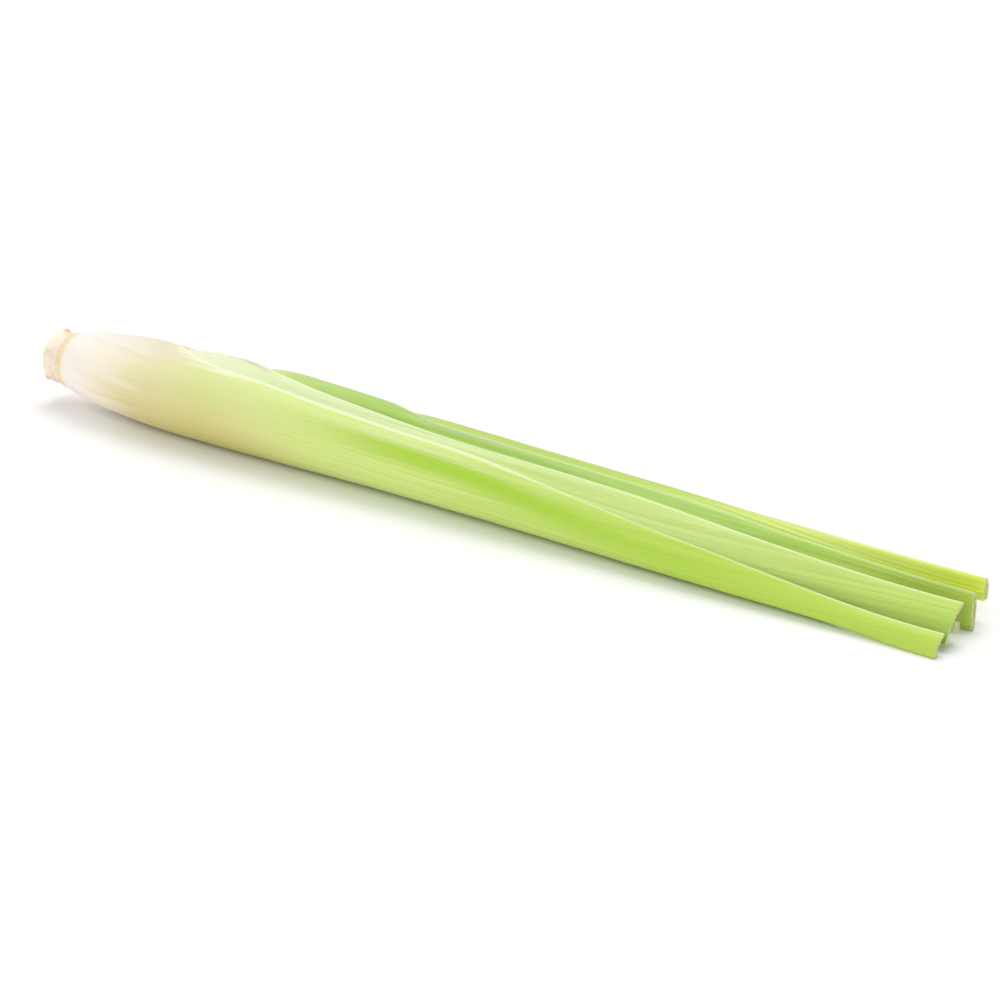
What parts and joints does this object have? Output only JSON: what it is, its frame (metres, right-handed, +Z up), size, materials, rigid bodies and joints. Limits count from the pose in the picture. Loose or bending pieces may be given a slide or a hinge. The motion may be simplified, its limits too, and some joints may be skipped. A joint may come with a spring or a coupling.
{
  "type": "lemongrass stalk",
  "caption": "Fresh lemongrass stalk lying on its side, with a pale swollen bulb, a trimmed root stub and nested green leaf sheaths that fan open at the cut leaf end.",
  "frame": {"origin": "middle of the stalk's length and width, on the surface that it rests on", "axes": "+X along the stalk from the root end to the cut leaf end, +Z up, -Y towards the side where the sheaths' free margins lie"},
  "size_m": [0.2424, 0.0232, 0.0211],
  "materials": {
    "stem_tissue": "matte",
    "outer_leaf": "satin",
    "second_leaf": "satin",
    "young_leaf": "satin",
    "dark_leaf": "satin",
    "back_leaf": "satin"
  },
  "bodies": {
    "root": {"culm_base": "stem_tissue", "outer_sheath": "outer_leaf", "second_sheath": "second_leaf", "inner_leaf_roll": "young_leaf", "third_sheath": "dark_leaf", "back_sheath": "back_leaf"}
  },
  "joints": []
}
